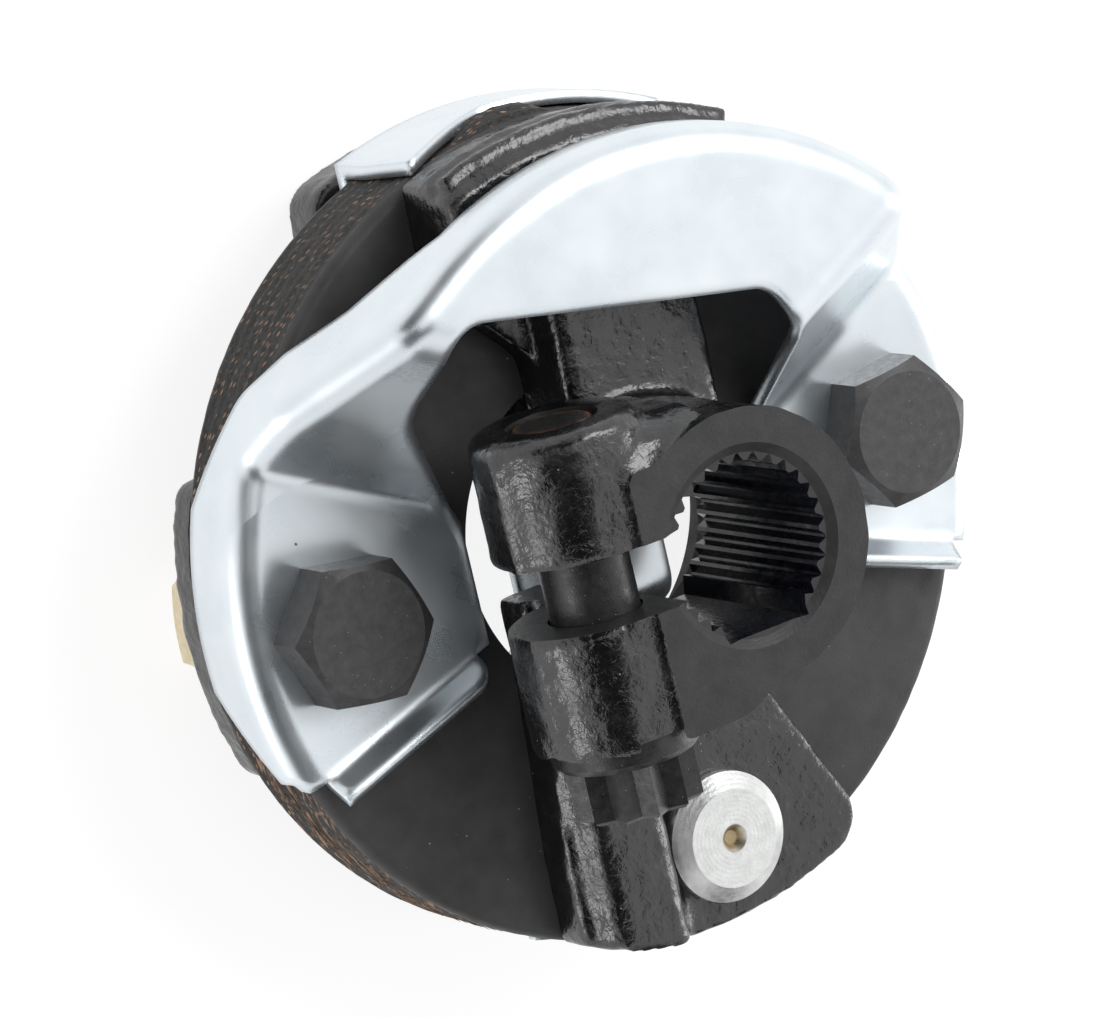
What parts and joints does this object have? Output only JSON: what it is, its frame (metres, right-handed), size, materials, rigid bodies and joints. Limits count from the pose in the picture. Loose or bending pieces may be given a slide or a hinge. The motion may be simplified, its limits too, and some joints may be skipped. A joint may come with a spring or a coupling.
{
  "type": "disc coupling",
  "caption": "Flexible shaft coupling: a splined clamp hub riveted to a rubber and fabric disc, with a pressed stop bridge and a bolted rear flange.",
  "frame": {"origin": "on the spline's axis, at the inner end of the splined bore, 3 mm in front of the disc's face", "axes": "+Z along the spline's axis towards the nose of the hub; +X towards the right-hand through bolt; +Y towards the upper rivet"},
  "size_m": [0.0924, 0.0916, 0.0507],
  "materials": {
    "black_casting": "gloss black paint over a rough casting",
    "fabric_rubber": "matt black rubber with cut fabric plies at the rim",
    "zinc_sheet": "bright zinc plating, lightly scratched",
    "dark_steel": "dark phosphate",
    "yellow_zinc": "pale yellow zinc plating",
    "rivet_steel": "pale satin zinc",
    "sleeve_steel": "plain turned steel"
  },
  "bodies": {
    "root": {"clamp_flange": "black_casting", "pinch_bolt": "dark_steel", "flexible_disc": "fabric_rubber", "stop_bridge": "zinc_sheet", "back_plate": "zinc_sheet", "rear_flange": "black_casting", "left_bolt": "dark_steel", "right_bolt": "dark_steel", "left_nut": "yellow_zinc", "right_nut": "yellow_zinc", "upper_rivet": "rivet_steel", "lower_rivet": "rivet_steel", "left_sleeve": "sleeve_steel", "right_sleeve": "sleeve_steel", "upper_rivet_sleeve": "sleeve_steel", "lower_rivet_sleeve": "sleeve_steel"}
  },
  "joints": []
}
